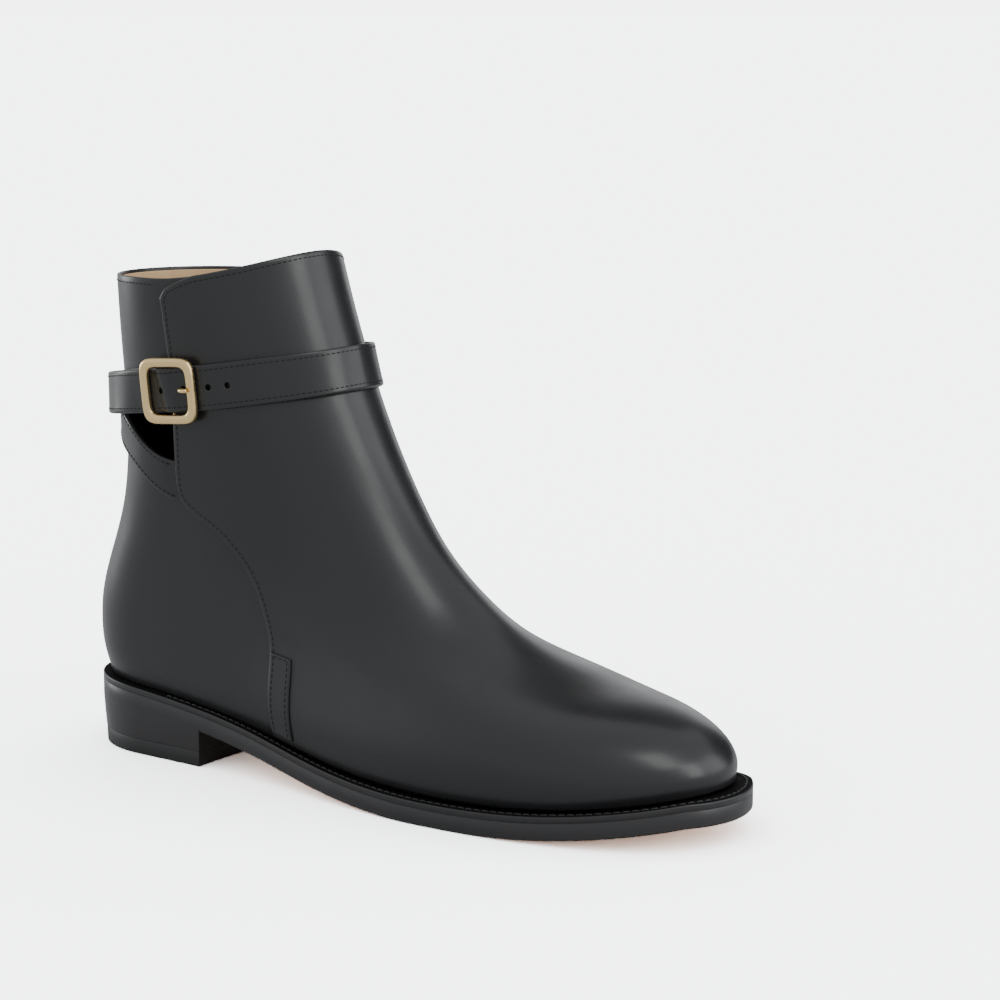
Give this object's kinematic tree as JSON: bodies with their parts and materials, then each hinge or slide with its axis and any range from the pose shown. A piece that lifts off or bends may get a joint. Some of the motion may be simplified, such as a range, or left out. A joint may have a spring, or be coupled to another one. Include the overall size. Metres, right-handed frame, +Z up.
{
  "type": "jodhpur boot",
  "caption": "Right ankle boot with a wrapped front, a strap crossing at the back and round to a side buckle, on a welted sole with a low heel.",
  "frame": {"origin": "middle of the plan box on the floor, under the boot", "axes": "+X from heel to toe, +Y to the inner side, +Z up"},
  "size_m": [0.2802, 0.0936, 0.1927],
  "materials": {
    "black_calf": "polished smooth",
    "tan_leather": "matt",
    "black_sole_leather": "satin edge dressing",
    "black_rubber": "matt",
    "gold_brass": "brushed satin"
  },
  "bodies": {
    "root": {"upper": "black_calf", "vamp": "black_calf", "long_strap": "black_calf", "buckle_strap": "black_calf", "back_stay": "black_calf", "seam_tab_outer": "black_calf", "seam_tab_inner": "black_calf", "welt": "black_sole_leather", "outsole": "black_sole_leather", "heel": "black_sole_leather", "top_lift": "black_rubber", "insole": "tan_leather", "buckle_frame": "gold_brass", "buckle_pin": "gold_brass"}
  },
  "joints": []
}
